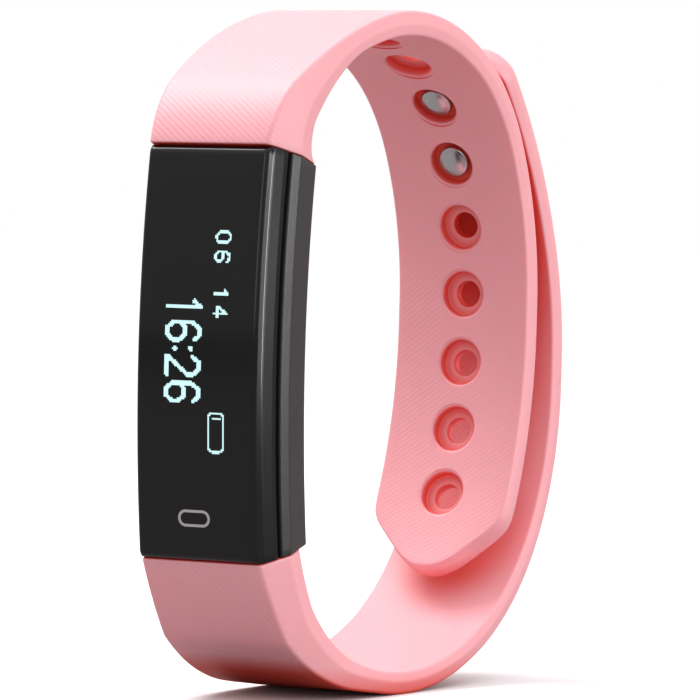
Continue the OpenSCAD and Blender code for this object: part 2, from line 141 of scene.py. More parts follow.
def filleted(corners, radii, fillet_points=5, side_points=4):
    """Closed outlines with rounded corners. corners is [outline, corner, 2]. Each corner is a
    quadratic curve (1-t)^2 A + 2t(1-t) corner + t^2 B, where A and B lie on its two sides at
    radius times the tangent of half the turn. Points between corners divide each side evenly."""
    corners = np.asarray(corners, float)
    before = np.roll(corners, 1, 1) - corners
    behind = np.roll(corners, -1, 1) - corners
    long_before = np.linalg.norm(before, axis=2, keepdims=True)
    long_behind = np.linalg.norm(behind, axis=2, keepdims=True)
    before, behind = before / long_before, behind / long_behind
    half_inside = np.arccos(np.clip((before * behind).sum(2, keepdims=True), -1, 1)) / 2
    reach = np.asarray(radii, float)[..., None] / np.tan(half_inside)
    reach = np.minimum(reach, 0.48 * np.minimum(long_before, long_behind))
    a, b = corners + before * reach, corners + behind * reach
    t = np.linspace(0, 1, fillet_points)[None, None, :, None]
    curve = (1 - t)**2 * a[:, :, None] + 2 * t * (1 - t) * corners[:, :, None] + t**2 * b[:, :, None]
    next_a = np.roll(a, -1, 1)
    u = (np.arange(1, side_points) / side_points)[None, None, :, None]
    side = b[:, :, None] * (1 - u) + next_a[:, :, None] * u
    return np.concatenate([curve, side], 2).reshape(len(corners), -1, 2)


def apply_boolean(piece, tool, operation="DIFFERENCE"):
    """Cuts tool out of piece, or joins it on, removes the tool, and clears away the faces without
    area that the cut leaves."""
    modifier = piece.modifiers.new("cut", "BOOLEAN")
    modifier.object, modifier.operation, modifier.solver = tool, operation, "EXACT"
    evaluated = piece.evaluated_get(bpy.context.evaluated_depsgraph_get())
    finished = bpy.data.meshes.new_from_object(evaluated)
    piece.modifiers.clear()
    clean = bmesh.new()
    clean.from_mesh(finished)
    bmesh.ops.dissolve_degenerate(clean, dist=MERGE_DIST, edges=clean.edges)
    bmesh.ops.triangulate(clean, faces=[f for f in clean.faces if len(f.verts) > 4])
    bmesh.ops.dissolve_degenerate(clean, dist=MERGE_DIST, edges=clean.edges)
    clean.to_mesh(finished)
    clean.free()
    piece.data = finished
    bpy.data.objects.remove(tool)


def turned(profile, segments=64):
    """Points and faces of a profile of [radius, height] turned about its axis. A radius of 0
    closes the shape at a pole."""
    profile = np.asarray(profile, float)
    angle = np.linspace(0, 2 * math.pi, segments, endpoint=False)
    body = profile[1:-1]
    x = body[:, :1] * np.cos(angle)
    y = body[:, :1] * np.sin(angle)
    z = np.repeat(body[:, 1:], segments, 1)
    points = np.stack([x, y, z], -1).reshape(-1, 3)
    points = np.vstack([points, [0, 0, profile[0, 1]], [0, 0, profile[-1, 1]]])
    return points, tube_faces(len(body), segments)


def combined(parts):
    """Several (points, faces) shapes as one."""
    points, faces, count = [], [], 0
    for part_points, part_faces in parts:
        points.append(part_points)
        faces += [[i + count for i in face] for face in part_faces]
        count += len(part_points)
    return np.vstack(points), faces


def block(low, high):
    """Points and faces of a plain block between two corners."""
    (x0, y0, z0), (x1, y1, z1) = low, high
    points = [[x, y, z] for z in (z0, z1) for y in (y0, y1) for x in (x0, x1)]
    faces = [[0, 2, 3, 1], [4, 5, 7, 6], [0, 1, 5, 4], [2, 6, 7, 3], [0, 4, 6, 2], [1, 3, 7, 5]]
    return np.array(points, float), faces


# ---- the straps' side profiles ----

def chain(start, arcs):
    """Tangent arcs, one row each: where it begins (y, z), its heading, its length, its radius.
    The heading turns from +Z towards +Y."""
    y, z, heading = start[0], start[1], math.radians(start[2])
    rows = []
    for radius, sweep in arcs:
        turned_to = heading + math.radians(sweep)
        rows.append((y, z, heading, radius * math.radians(sweep), radius))
        y += radius * (math.cos(heading) - math.cos(turned_to))
        z += radius * (math.sin(turned_to) - math.sin(heading))
        heading = turned_to
    return np.array(rows), (y, z)


def walk(rows, s):
    """y, z and heading at the distances s. On each arc the heading grows by distance over radius,
    and the place moves by the radius times the change of the heading's cosine and sine."""
    s = np.asarray(s, float)
    begin = np.concatenate([[0], np.cumsum(rows[:, 3])[:-1]])
    i = np.clip(np.searchsorted(begin, s, side="right") - 1, 0, len(rows) - 1)
    y0, z0, h0, _, radius = np.moveaxis(rows[i], -1, 0)
    h = h0 + (s - begin[i]) / radius
    return y0 + radius * (np.cos(h0) - np.cos(h)), z0 + radius * (np.sin(h) - np.sin(h0)), h


HOLE_START = (END_Y, HALF_LEN, 16)
HOLE_ARCS = [(12, 41), (48.4, 21), (29.9, 38), (22, 35.5), (35.8, 28.5)]
STUD_START = (STUD_ROOT_Y, HALF_LEN, 22)
STUD_ARCS = [(17.5, 51), (34.5, 41.5), (26, 42), (30, 23.5)]
flat_len = chain(HOLE_START, HOLE_ARCS)[1][1] + chain(STUD_START, STUD_ARCS)[1][1] - FLAT_DROP
FLAT_ARC = (1e5, math.degrees(flat_len / 1e5))
HOLE_ROWS = chain(HOLE_START, HOLE_ARCS + [FLAT_ARC, (49, 40)])[0]
STUD_ROWS = chain(STUD_START, STUD_ARCS + [FLAT_ARC, (35, 19), (52, 40)])[0]
TIP_S = HOLE_ROWS[:len(HOLE_ARCS) + 1, 3].sum() + TIP_REACH


def taper(s):
    """The share of the root's extra thickness left at s: (1 - s / length) to the power 1.6."""
    return np.maximum(0, 1 - np.maximum(0, s) / TAPER_LEN)**1.6


def hole_places():
    """Distances along the hole strap to its holes, from two above the upper stud to the last.
    They are even on the skin side, so they spread on the outer side by radius / (radius - thickness)."""
    def pitch(s):
        begin = np.concatenate([[0], np.cumsum(HOLE_ROWS[:, 3])[:-1]])
        radius = HOLE_ROWS[max(0, np.searchsorted(begin, s, side="right") - 1), 4]
        return HOLE_PITCH * radius / (radius - HOLE_T)
    up = [CLASP_AT]
    for _ in range(HOLES_ABOVE_CLASP):
        up.insert(0, up[0] - pitch(up[0] - HOLE_PITCH / 2))
    while len(up) < HOLE_COUNT:
        up.append(up[-1] + pitch(up[-1] + HOLE_PITCH / 2))
    return up


# ---- strap surfaces ----

def strap_rings(rows, s, front, back, width, spare, flipped):
    """Rings of a strap, one for each distance s: a six-sided section, widest at CREST_SHARE of its
    thickness, with rounded corners. front and back are depths from the chain, and spare shrinks
    the section all round, for its rounded ends."""
    depth_mid = front + (back - front) * CREST_SHARE
    bevel_front = THIN_BEVEL + (EDGE_BEVEL - THIN_BEVEL) * taper(s)
    bevel_back = THIN_BEVEL + (BACK_BEVEL - THIN_BEVEL) * taper(s)
    half = width / 2 - spare
    near, far = front + spare, back - spare
    x = np.stack([half - bevel_front, half, half - bevel_back,
                  bevel_back - half, -half, bevel_front - half], -1)
    depth = np.stack([near, depth_mid, far, far, depth_mid, near], -1)
    thick = taper(s)
    face_round = 0.35 + 0.25 * thick
    radii = np.stack([face_round, 1.1 + 0 * s, face_round, face_round, 1.1 + 0 * s, face_round], -1)
    outline = filleted(np.stack([x, depth], -1), radii, 6, 6)
    y, z, heading = walk(rows, s)
    along_y = y[:, None] + outline[..., 1] * np.cos(heading)[:, None]
    along_z = z[:, None] - outline[..., 1] * np.sin(heading)[:, None]
    rings = np.stack([outline[..., 0], along_y, along_z], -1)
    if flipped:
        rings[..., 2] *= -1
        rings = rings[:, ::-1]
        outline = outline[:, ::-1]
    return rings, outline


def end_plane_z(y, gap):
    """Height of the core's tilted end face at the depth y, moved out by gap."""
    return HALF_LEN + gap - (y - END_Y) * math.tan(END_TILT)


def fitted_to_core(rings, s, sign, gap, reach):
    """Leans the first rings of a strap onto the core's tilted end face. The first ring lies on the
    end plane, moved out by gap, and a ring at s moves (1 - s / reach) of the first one's move."""
    y = rings[0, :, 1]
    move = np.stack([0 * y, 0 * y, sign * end_plane_z(y, gap) - rings[0, :, 2]], -1)
    share = np.clip(1 - s / reach, 0, 1)[:, None, None]
    return rings + move * share


def ribbed_weight(s, outline, front, back, reach):
    """How strongly the ribs show: full on the flat outer face near the core, fading to 0.35 by
    reach, and 0.4 on the skin side."""
    share = (outline[..., 1] - front[:, None]) / (back - front)[:, None]
    outer = np.clip((0.16 - share) / 0.1, 0, 1)
    skin = np.clip((share - 0.9) / 0.08, 0, 1)
    fade = np.clip(1 - (s - 3) / reach, 0.0, 1)[:, None]
    return outer * (0.35 + 0.65 * fade) + 0.4 * skin


def finish_strap(piece, rings, s, weight):
    """Puts the pattern coordinates on a strap: a UV map of (x, distance along), in centimetres,
    and the rib weight as an attribute."""
    mesh = piece.data
    across = np.append(rings[..., 0].ravel(), [0, 0]) / 10
    along = np.append(np.repeat(s, rings.shape[1]), [s[0], s[-1]]) / 10
    corner = np.zeros(len(mesh.loops), int)
    mesh.loops.foreach_get("vertex_index", corner)
    uv = mesh.uv_layers.new(name="strap")
    uv.data.foreach_set("uv", np.stack([across[corner], along[corner]], -1).ravel().astype(np.float32))
    attribute = mesh.attributes.new("rib_weight", "FLOAT", "POINT")
    attribute.data.foreach_set("value", np.append(weight.ravel(), [0, 0]).astype(np.float32))


def strap_piece(name, rows, s, front, back, width, spare, flipped, rib_reach, gap=0.06):
    """One whole strap as a closed tube of rings with a pole at each end."""
    rings, outline = strap_rings(rows, s, front, back, width, spare, flipped)
    rings = fitted_to_core(rings, s, -1 if flipped else 1, gap, ROOT_REACH)
    columns = rings.shape[1]
    poles = [rings[0].mean(0), rings[-1].mean(0)]
    points = np.vstack([rings.reshape(-1, 3), poles])
    piece = make_mesh(name, points, tube_faces(len(rings), columns), 50)
    finish_strap(piece, rings, s, ribbed_weight(s, outline, front, back, rib_reach))
    return piece


def rounded_stations(last, start_radius, end_radius, spacing):
    """Distances along a strap, close together where its two ends round off, and how much the
    section shrinks at each: radius - sqrt(radius^2 - distance into the end^2)."""
    turn = np.linspace(0, math.pi / 2, 7)[1:]
    start = start_radius * (1 - np.sin(turn[::-1]))
    end = last - end_radius * (1 - np.sin(turn))
    middle = np.linspace(start_radius, last - end_radius, int(last / spacing))
    s = np.concatenate([start, middle, end])
    near_start = s < last / 2
    radius = np.where(near_start, start_radius, end_radius)
    into = np.clip(np.where(near_start, radius - s, s - last + radius), 0, radius)
    return s, radius - np.sqrt(np.maximum(0, radius**2 - into**2))


def on_hole_strap(points, s):
    """Points drawn about an axis along +Z, moved onto the hole strap's outer face at s with their
    axis pointing at the wrist."""
    y, z, heading = (float(v) for v in walk(HOLE_ROWS, s))
    points = np.asarray(points, float)
    inwards = np.array([0, math.cos(heading), -math.sin(heading)])
    back_along = np.array([0, -math.sin(heading), -math.cos(heading)])
    return (np.array([0, y, z]) + points[:, :1] * np.array([1.0, 0, 0])
            + points[:, 1:2] * back_along + points[:, 2:3] * inwards)


def hole_tool():
    """Profile of a strap hole: a through hole with softened rims, and a counterbore on the skin
    side whose rim flares by a quarter circle."""
    r, c, t = HOLE_D / 2, COUNTERBORE_D / 2, HOLE_T
    floor = t - COUNTERBORE_DEPTH
    turn = np.linspace(0, math.pi / 2, 5)
    outer_rim = [[r + 0.2 - 0.2 * math.sin(a), 0.2 - 0.2 * math.cos(a)] for a in turn]
    floor_rim = [[r + 0.12 * (1 - math.cos(a)), floor - 0.12 + 0.12 * math.sin(a)] for a in turn]
    corner = [[c - 0.25 + 0.25 * math.sin(a), floor + 0.25 - 0.25 * math.cos(a)] for a in turn]
    skin_rim = [[c + 0.28 * (1 - math.cos(a)), t - 0.28 + 0.28 * math.sin(a)] for a in turn]
    return ([[0, -0.6], [r + 0.2, -0.6]] + outer_rim + floor_rim + corner + skin_rim
            + [[c + 0.28, t + 0.6], [0, t + 0.6]])


def tip_width(s):
    """Straight sides, then shoulders that close in to a blunt end: a soft minimum of the two
    widths, (width^-n + taper^-n)^(-1/n) with n = 14."""
    shoulder = TIP_W + (CORE_W - TIP_W) * (TIP_S - s) / TIP_LEN
    return (CORE_W**-14.0 + np.maximum(shoulder, 0.1)**-14.0)**(-1 / 14)


def hole_strap():
    """The strap with the holes, from the core's upper end over the back and down to its tip."""
    s, spare = rounded_stations(TIP_S + TIP_OVER, ROOT_ROUND, END_ROUND, STATION_GAP)
    thickness = HOLE_T + (ROOT_T - HOLE_T) * taper(s)
    tip_round = np.clip((s - (TIP_S + TIP_OVER - TIP_ROUND)) / TIP_ROUND, 0, 1)
    width = tip_width(s) * np.sqrt(np.maximum(0.02, 1 - 0.9 * tip_round**2.4))
    piece = strap_piece("hole_strap", HOLE_ROWS, s, 0 * s, thickness, width, np.minimum(spare, 0.45),
                        False, RIB_REACH)
    points, faces = turned(hole_tool(), 56)
    holes = [(on_hole_strap(points, at), faces) for at in hole_places()]
    tool = make_mesh("hole_cutter", *combined(holes))
    apply_boolean(piece, tool)
    shade(piece, 35)
    return piece


def stud_strap():
    """The strap with the studs, from the core's lower end under the wrist and up the back."""
    last = STUD_END_S
    s, spare = rounded_stations(last, ROOT_ROUND, END_ROUND, STATION_GAP)
    thickness = STUD_T + (STUD_ROOT_Y - END_Y - STUD_T) * taper(s)
    past = np.clip((s - (last - STUD_END_ROUND)) / STUD_END_ROUND, 0, 1)
    width = CORE_W - 2 * STUD_END_ROUND * (1 - np.sqrt(np.maximum(0, 1 - past**2)))
    return strap_piece("stud_strap", STUD_ROWS, s, -thickness, 0 * s, width, np.minimum(spare, 0.45),
                       True, RIB_REACH)


def clasp_stud_heads():
    """The two studs: a rivet foot, a neck and a domed head, turned about the hole's axis."""
    base = HOLE_T - COUNTERBORE_DEPTH + 0.05
    foot = -0.9
    radius = (HEAD_D / 2)**2 / (2 * DOME_H) + DOME_H / 2
    edge = 0.22
    across = np.linspace(HEAD_D / 2 - edge, 0, 14)[:-1]
    dome = [[x, base + HEAD_H + math.sqrt(radius**2 - x**2) - radius] for x in across]
    rim_top = base + HEAD_H - DOME_H
    turn = np.linspace(0, math.pi / 2, 5)[:-1]
    rim_rise = dome[0][1] - rim_top + 0.1
    rim = [[HEAD_D / 2 - edge + edge * math.cos(a), rim_top - 0.1 + rim_rise * math.sin(a)]
           for a in turn]
    profile = ([[0, foot - 0.35], [1.8, foot - 0.35], [1.8, foot], [NECK_D / 2, foot],
                [NECK_D / 2, base], [HEAD_D / 2 - 0.08, base], [HEAD_D / 2, base + 0.08]]
               + rim + dome + [[0, base + HEAD_H]])
    points, faces = turned(profile, 64)
    places = hole_places()[2:4]
    return make_mesh("stud_heads", *combined([(on_hole_strap(points, at), faces) for at in places]), 35)


# ---- core surfaces ----

def side_at(depth):
    """Half the core's width at a depth behind its front face, down to its crest."""
    return FACE_H + EDGE_BEVEL * depth / CREST_D


def end_angle(depth):
    """The angle about the face's arc at which a surface at this depth meets the core's tilted end."""
    rho = FACE_R - depth
    lean = (HALF_LEN - (FACE_R - END_Y) * math.tan(END_TILT)) * math.cos(END_TILT)
    return END_TILT + np.arcsin(lean / rho)


def quarter_fall(into, radius):
    """How far a quarter circle of this radius has fallen at a distance into its rounding."""
    into = np.clip(into, 0, radius)
    return radius - np.sqrt(np.maximum(0, radius**2 - into**2))


def core_shell(name, corners, radii, end_round=0.2, front_round=0.0, smooth_below=35):
    """A closed slab of the core: an outline of [half width, depth] swept along the face's arc,
    between the two tilted ends. Near each end the outline shrinks by a quarter circle of radius
    end_round, and its front falls back by another of radius front_round."""
    outline = filleted([corners], [radii], 6, 8)[0]
    centre = np.array([0, outline[:, 1].mean()])
    from_end = np.concatenate([end_round * (1 - np.sin(np.linspace(0, math.pi / 2, 5)[1:])),
                               front_round * (1 - np.sin(np.linspace(0, math.pi / 2, 12)[1:-1]))])
    from_end = np.unique(np.round(from_end[from_end < max(front_round, end_round)], 6))
    inner = np.linspace(0, HALF_LEN - max(end_round, front_round), 31)
    half = np.concatenate([inner, HALF_LEN - from_end[::-1]]) / HALF_LEN
    t = np.concatenate([-half[:0:-1], half])
    past = (np.abs(t) - 1) * HALF_LEN
    shrink = quarter_fall(past + end_round, end_round)[:, None, None]
    reach = 0.45 * np.abs(outline - centre)[None]
    ring = outline[None] - np.sign(outline - centre)[None] * np.minimum(shrink, reach)
    if front_round:
        first, last = outline[:, 1].min(), outline[:, 1].max()
        share = (last - ring[..., 1]) / (last - first)
        fall = np.minimum(quarter_fall(past + front_round, front_round), 0.85 * (last - first))
        ring[..., 1] += share * fall[:, None]
    depth = ring[..., 1]
    angle = t[:, None] * end_angle(depth)
    points = np.stack([ring[..., 0], FACE_R - (FACE_R - depth) * np.cos(angle),
                       (FACE_R - depth) * np.sin(angle)], -1)
    poles = [points[0].mean(0), points[-1].mean(0)]
    everything = np.vstack([points.reshape(-1, 3), poles])
    return make_mesh(name, everything, tube_faces(len(t), outline.shape[0]), smooth_below)


def mirrored_outline(right):
    """An outline's right half, front to back, with its mirror image."""
    right = [list(p) for p in right]
    return right + [[-x, d] for x, d in right[::-1]]


def core_lens():
    """The lens: a thin slab whose front edges are rounded, most at its two ends."""
    right = [(side_at(0) - 0.12, 0), (side_at(LENS_T), LENS_T)]
    return core_shell("core_lens", mirrored_outline(right), [0.6, 0.03, 0.03, 0.6], 0.1, 1.0)


def core_bezel():
    """The bezel: a ring behind the lens, open over the inner space."""
    right = [(side_at(LENS_T), LENS_T), (side_at(SEAM_D), SEAM_D)]
    piece = core_shell("core_bezel", mirrored_outline(right), [0.03, 0.75, 0.75, 0.03], 0.12)
    apply_boolean(piece, make_mesh("bezel_cutter", *block((-CAVITY_H, -2, -CAVITY_HALF_LEN),
                                                         (CAVITY_H, 12, CAVITY_HALF_LEN))))
    shade(piece, 35)
    return piece


def core_back():
    """The rear housing: outer shell, tongues, inner space and the two contact seats."""
    right = [(side_at(SEAM_D), SEAM_D), (HALF_W, CREST_D), (BACK_H, CORE_D)]
    piece = core_shell("core_back", mirrored_outline(right), [0.2, 0.45, 0.75, 0.75, 0.45, 0.2], 0.15)
    tongues = []
    for side in (1, -1):
        z = sorted([side * (CAVITY_HALF_LEN + 0.1), side * (HALF_LEN + TONGUE_LEN)])
        tongues.append(block((-TONGUE_HALF_W, TONGUE_FRONT, z[0]), (TONGUE_HALF_W, TONGUE_BACK, z[1])))
    apply_boolean(piece, make_mesh("tongues", *combined(tongues)), "UNION")
    apply_boolean(piece, make_mesh("inner_cutter", *block((-CAVITY_H, -2, -CAVITY_HALF_LEN),
                                                         (CAVITY_H, CORE_D - FLOOR_T, CAVITY_HALF_LEN))))
    low, high = (np.array(c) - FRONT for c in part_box("charge_contacts"))
    contact_z = (low[2] + high[2]) / 2 * 1000
    contact_r = (high[2] - low[2]) / 2 * 1000
    contact_x = high[0] * 1000 - contact_r
    seat = [[0, 6], [contact_r, 6], [contact_r, CORE_D - 0.02], [contact_r + 0.3, CORE_D + 0.3],
            [contact_r + 0.3, 12], [0, 12]]
    points, faces = turned(seat, 48)
    seats = [(np.stack([points[:, 0] + side * contact_x, points[:, 2], contact_z - points[:, 1]], -1), faces)
             for side in (-1, 1)]
    apply_boolean(piece, make_mesh("seat_cutter", *combined(seats)))
    shade(piece, 35)
    return piece


# ---- marks on the lens ----

# strokes of each sign on a grid that is GLYPH_W wide and GLYPH_H high
GLYPH_W, GLYPH_H = 4, 7
GLYPHS = {
    "0": [[(0, 1.4), (1.2, 0), (2.8, 0), (4, 1.4), (4, 5.6), (2.8, 7), (1.2, 7), (0, 5.6), (0, 1.4)]],
    "1": [[(0, 5.7), (1.2, 7), (1.2, 0)]],
    "2": [[(0.1, 5.6), (1.2, 7), (2.8, 7), (3.9, 5.8), (3.9, 4.6), (0.1, 0.2)], [(0.1, 0), (4, 0)]],
    "4": [[(3, 0), (3, 7), (0, 2.2), (4, 2.2)]],
    "6": [[(3.8, 6), (2.9, 7), (1.3, 7), (0.1, 5.4), (0.1, 1.3), (1.2, 0), (2.8, 0), (3.9, 1.2), (3.9, 2.6),
           (2.8, 3.8), (1.2, 3.8), (0.1, 2.8)]],
    ":": [[(0.4, 1.6), (0.4, 1.9)], [(0.4, 5.0), (0.4, 5.3)]],
}


def lit_cells(lines, pitch, stroke):
    """Cells of a square grid whose centres lie within half a stroke of one of the line segments."""
    starts = np.array([a for line in lines for a in line[:-1]], float)
    ends = np.array([b for line in lines for b in line[1:]], float)
    low, high = np.minimum(starts, ends).min(0) - stroke, np.maximum(starts, ends).max(0) + stroke
    i = np.arange(math.floor(low[0] / pitch), math.ceil(high[0] / pitch))
    j = np.arange(math.floor(low[1] / pitch), math.ceil(high[1] / pitch))
    centre = np.stack(np.meshgrid((i + 0.5) * pitch, (j + 0.5) * pitch, indexing="ij"), -1)
    way = ends - starts
    t = ((centre[:, :, None] - starts) * way).sum(-1) / np.maximum(1e-9, (way**2).sum(-1))
    nearest = starts + np.clip(t, 0, 1)[..., None] * way
    off = np.linalg.norm(centre[:, :, None] - nearest, axis=-1).min(-1)
    return centre, off <= stroke / 2


def cell_blocks(centre, lit, pitch):
    """Thin blocks on the lens, one for each run of lit cells along z. Rows stand a little apart,
    so that no two blocks share a face or an edge."""
    reach = pitch * 0.48
    parts = []
    for row in range(lit.shape[0]):
        padded = np.concatenate([[0], lit[row].astype(int), [0]])
        begins = np.flatnonzero(np.diff(padded) == 1)
        stops = np.flatnonzero(np.diff(padded) == -1)
        for a, b in zip(begins, stops):
            x = centre[row, a, 0]
            z0, z1 = centre[row, a, 1] - reach, centre[row, b - 1, 1] + reach
            parts.append(block((x - reach, -0.02, z0), (x + reach, 0.03, z1)))
    return parts


def laid_on_face(points):
    """Moves points drawn on a flat face onto the core's arched front: y grows by
    radius - sqrt(radius^2 - z^2)."""
    points = np.array(points, float)
    points[:, 1] += FACE_R - np.sqrt(FACE_R**2 - points[:, 2]**2)
    return points


def written(glyphs, x_base, height, width):
    """Line segments of a row of glyphs that reads downwards, with the glyphs' tops towards +X.
    glyphs is a list of (glyph, z where it starts)."""
    return [[(x_base + gy / GLYPH_H * height, z - gx / GLYPH_W * width) for gx, gy in line]
            for letter, z in glyphs for line in GLYPHS[letter]]


def readout():
    """The lit readout: a time, a date and a battery, in square display cells."""
    cell = 0.165
    clock = written([("1", 5.0), ("6", 3.0), (":", 0.62), ("2", -0.3), ("6", -2.85)], -3.2, 3.6, 1.8)
    date = written([("0", 11.7), ("6", 9.85), ("1", 6.1), ("4", 4.6)], 1.85, 1.5, 1.0)
    cell_outline = [[(1.55, -5.95), (1.8, -5.65), (3.0, -5.65), (3.25, -5.95), (3.25, -9.0), (3.0, -9.3),
                     (1.8, -9.3), (1.55, -9.0), (1.55, -5.95)], [(2.05, -9.55), (2.75, -9.55)],
                    [(2.0, -6.2), (2.8, -6.2)]]
    parts = []
    for lines, stroke in ((clock, 0.42), (date, 0.24), (cell_outline, 0.2)):
        parts += cell_blocks(*lit_cells(lines, cell, stroke), cell)
    points, faces = combined(parts)
    return make_mesh("readout", laid_on_face(points), faces, 20)


def touch_key_mark():
    """The printed outline of the touch key: a ring between two rounded-end ovals."""
    centre_x, centre_z, half_w, half_h, stroke = -0.16, -15.88, 1.78, 0.82, 0.26
    angle = np.linspace(0, 2 * math.pi, 96, endpoint=False)
    rings = []
    for grow, depth in ((0, 0.03), (0, -0.02), (-stroke, -0.02), (-stroke, 0.03)):
        h = half_h + grow
        x = centre_x + h * np.cos(angle) + np.sign(np.cos(angle)) * (half_w - half_h)
        rings.append(np.stack([x, np.full_like(x, depth), centre_z + h * np.sin(angle)], -1))
    count = len(angle)
    points = np.vstack(rings)
    faces = []
    for i in range(4):
        a, b = i * count, (i + 1) % 4 * count
        ring = np.arange(count)
        after = (ring + 1) % count
        faces += np.stack([a + after, b + after, b + ring, a + ring], -1).tolist()
    return make_mesh("touch_key_mark", laid_on_face(points), faces, 30)


# ---- finishes ----

def node_group(name, inputs, outputs):
    """A shader node group with named sockets. inputs is {name: (type, default)}."""
    group = bpy.data.node_groups.new(name, "ShaderNodeTree")
    for title, (kind, value) in inputs.items():
        socket = group.interface.new_socket(title, in_out="INPUT", socket_type=kind)
        if value is not None:
            socket.default_value = value
    for title, kind in outputs.items():
        group.interface.new_socket(title, in_out="OUTPUT", socket_type=kind)
    return group, group.nodes.new("NodeGroupInput"), group.nodes.new("NodeGroupOutput")


def math_node(tree, operation, *values):
    """A math node fed by sockets or plain numbers, and its output."""
    node = tree.nodes.new("ShaderNodeMath")
    node.operation = operation
    for i, value in enumerate(values):
        if hasattr(value, "links"):
            tree.links.new(value, node.inputs[i])
        else:
            node.inputs[i].default_value = value
    return node.outputs[0]


def grain_group():
    """Surface grain: two noises vary the colour and the roughness a little, and a fine one makes
    the bump. Coordinates are metres, so scales are cells per metre."""
    group, inside, outside = node_group(
        "surface_grain",
        {"Color": ("NodeSocketColor", (0.5, 0.5, 0.5, 1)), "Shade": ("NodeSocketFloat", 0.1),
         "Roughness": ("NodeSocketFloat", 0.4), "Spread": ("NodeSocketFloat", 0.1),
         "Patch Scale": ("NodeSocketFloat", 120.0), "Grain Scale": ("NodeSocketFloat", 4000.0),
         "Bump": ("NodeSocketFloat", 0.1)},
        {"Color": "NodeSocketColor", "Roughness": "NodeSocketFloat", "Grain": "NodeSocketFloat",
         "Normal": "NodeSocketVector"})
    links = group.links
    place = group.nodes.new("ShaderNodeTexCoord")
    patch = group.nodes.new("ShaderNodeTexNoise")
    patch.inputs["Detail"].default_value = 3
    grain = group.nodes.new("ShaderNodeTexNoise")
    grain.inputs["Detail"].default_value = 1
    for noise, scale in ((patch, "Patch Scale"), (grain, "Grain Scale")):
        links.new(place.outputs["Object"], noise.inputs["Vector"])
        links.new(inside.outputs[scale], noise.inputs["Scale"])
    centred = math_node(group, "SUBTRACT", patch.outputs["Fac"], 0.5)
    gain = math_node(group, "MULTIPLY_ADD", centred, inside.outputs["Shade"], 1.0)
    tint = group.nodes.new("ShaderNodeVectorMath")
    tint.operation = "SCALE"
    links.new(inside.outputs["Color"], tint.inputs[0])
    links.new(gain, tint.inputs["Scale"])
    links.new(tint.outputs[0], outside.inputs["Color"])
    rough = math_node(group, "MULTIPLY_ADD", centred, inside.outputs["Spread"], inside.outputs["Roughness"])
    links.new(rough, outside.inputs["Roughness"])
    bump = group.nodes.new("ShaderNodeBump")
    bump.inputs["Distance"].default_value = 0.00002
    links.new(inside.outputs["Bump"], bump.inputs["Strength"])
    links.new(grain.outputs["Fac"], bump.inputs["Height"])
    links.new(grain.outputs["Fac"], outside.inputs["Grain"])
    links.new(bump.outputs["Normal"], outside.inputs["Normal"])
    return group


def rib_group():
    """Fine diagonal ribs across a strap, from its UV map: the height is the sine of the distance
    across the ribs over their pitch, softened to flat-topped ribs, times the rib weight."""
    group, inside, outside = node_group(
        "diagonal_ribs",
        {"Slope": ("NodeSocketFloat", 1.0), "Pitch": ("NodeSocketFloat", 0.07)},
        {"Height": "NodeSocketFloat"})
    uv = group.nodes.new("ShaderNodeUVMap")
    uv.uv_map = "strap"
    parts = group.nodes.new("ShaderNodeSeparateXYZ")
    group.links.new(uv.outputs[0], parts.inputs[0])
    sloped = math_node(group, "MULTIPLY_ADD", parts.outputs["Y"], inside.outputs["Slope"], parts.outputs["X"])
    phase = math_node(group, "DIVIDE", sloped, inside.outputs["Pitch"])
    wave = math_node(group, "SINE", math_node(group, "MULTIPLY", phase, 2 * math.pi))
    soft = math_node(group, "SMOOTH_MAX", wave, -0.35, 0.3)
    weight = group.nodes.new("ShaderNodeAttribute")
    weight.attribute_name = "rib_weight"
    group.links.new(math_node(group, "MULTIPLY", soft, weight.outputs["Fac"]), outside.inputs["Height"])
    return group


GRAIN = grain_group()
RIBS = rib_group()


def finish(name, color, roughness, metallic=0.0, shade_by=0.12, spread=0.12, patch=150.0, grain=5000.0,
           bump=0.1, **sockets):
    """A Principled material whose colour, roughness and normal come from the grain group."""
    material = bpy.data.materials.new(name)
    material.use_nodes = True
    tree = material.node_tree
    shader = tree.nodes["Principled BSDF"]
    grained = tree.nodes.new("ShaderNodeGroup")
    grained.node_tree = GRAIN
    grained.name = "grain"
    for title, value in (("Color", (*color, 1)), ("Shade", shade_by), ("Roughness", roughness),
                         ("Spread", spread), ("Patch Scale", patch), ("Grain Scale", grain), ("Bump", bump)):
        grained.inputs[title].default_value = value
    tree.links.new(grained.outputs["Color"], shader.inputs["Base Color"])
    tree.links.new(grained.outputs["Roughness"], shader.inputs["Roughness"])
    tree.links.new(grained.outputs["Normal"], shader.inputs["Normal"])
    shader.inputs["Metallic"].default_value = metallic
    for title, value in sockets.items():
        shader.inputs[title.replace("_", " ")].default_value = value
    return material


STRAP_COLOR = (0.93, 0.415, 0.45)
# painted shade: the deep red that enclosed holes and seams are mixed towards
PAINTED_SHADE_COLOR = (0.85, 0.07, 0.04, 1)
RIB_SLOPE, RIB_PITCH = 1.28, 0.078


